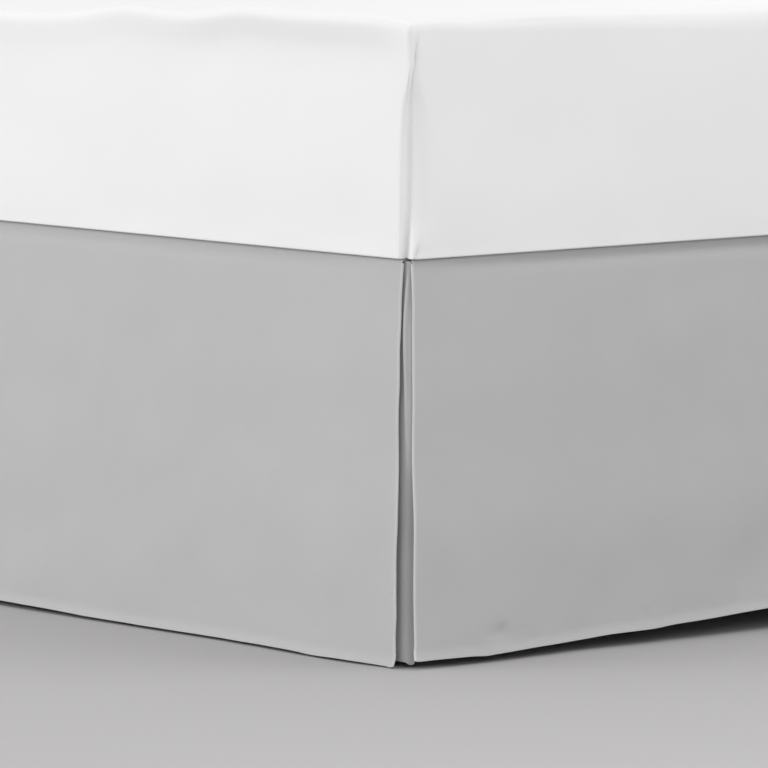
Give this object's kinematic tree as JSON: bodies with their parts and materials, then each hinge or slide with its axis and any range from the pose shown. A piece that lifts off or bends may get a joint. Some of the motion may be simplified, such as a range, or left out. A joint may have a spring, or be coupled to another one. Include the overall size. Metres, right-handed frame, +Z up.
{
  "type": "bed skirt on a bed with mattress",
  "caption": "Flat tailored bed skirt with parted foot corners and underlays behind them, hung round a plain bed with box spring, mattress and steel frame.",
  "frame": {"origin": "on the floor, under the middle of the bed's footprint", "axes": "+Z up, +Y towards the head of the bed, +X towards the right side seen from the foot"},
  "size_m": [0.996, 1.91, 0.6174],
  "materials": {
    "skirt_cloth": "smooth light grey brushed cloth, matt",
    "fitted_sheet": "white fitted sheet, matt",
    "box_ticking": "plain woven ticking",
    "painted_steel": "satin black paint",
    "glide_plastic": "matt black plastic"
  },
  "bodies": {
    "root": {"deck": "skirt_cloth", "drop_left": "skirt_cloth", "drop_right": "skirt_cloth", "drop_foot": "skirt_cloth", "underlay_left": "skirt_cloth", "underlay_right": "skirt_cloth", "mattress": "fitted_sheet", "box_spring": "box_ticking", "side_rail_left": "painted_steel", "side_rail_right": "painted_steel", "cross_rail_foot": "painted_steel", "cross_rail_head": "painted_steel", "leg_foot_left": "painted_steel", "leg_foot_right": "painted_steel", "leg_head_left": "painted_steel", "leg_head_right": "painted_steel", "glide_foot_left": "glide_plastic", "glide_foot_right": "glide_plastic", "glide_head_left": "glide_plastic", "glide_head_right": "glide_plastic"}
  },
  "joints": []
}
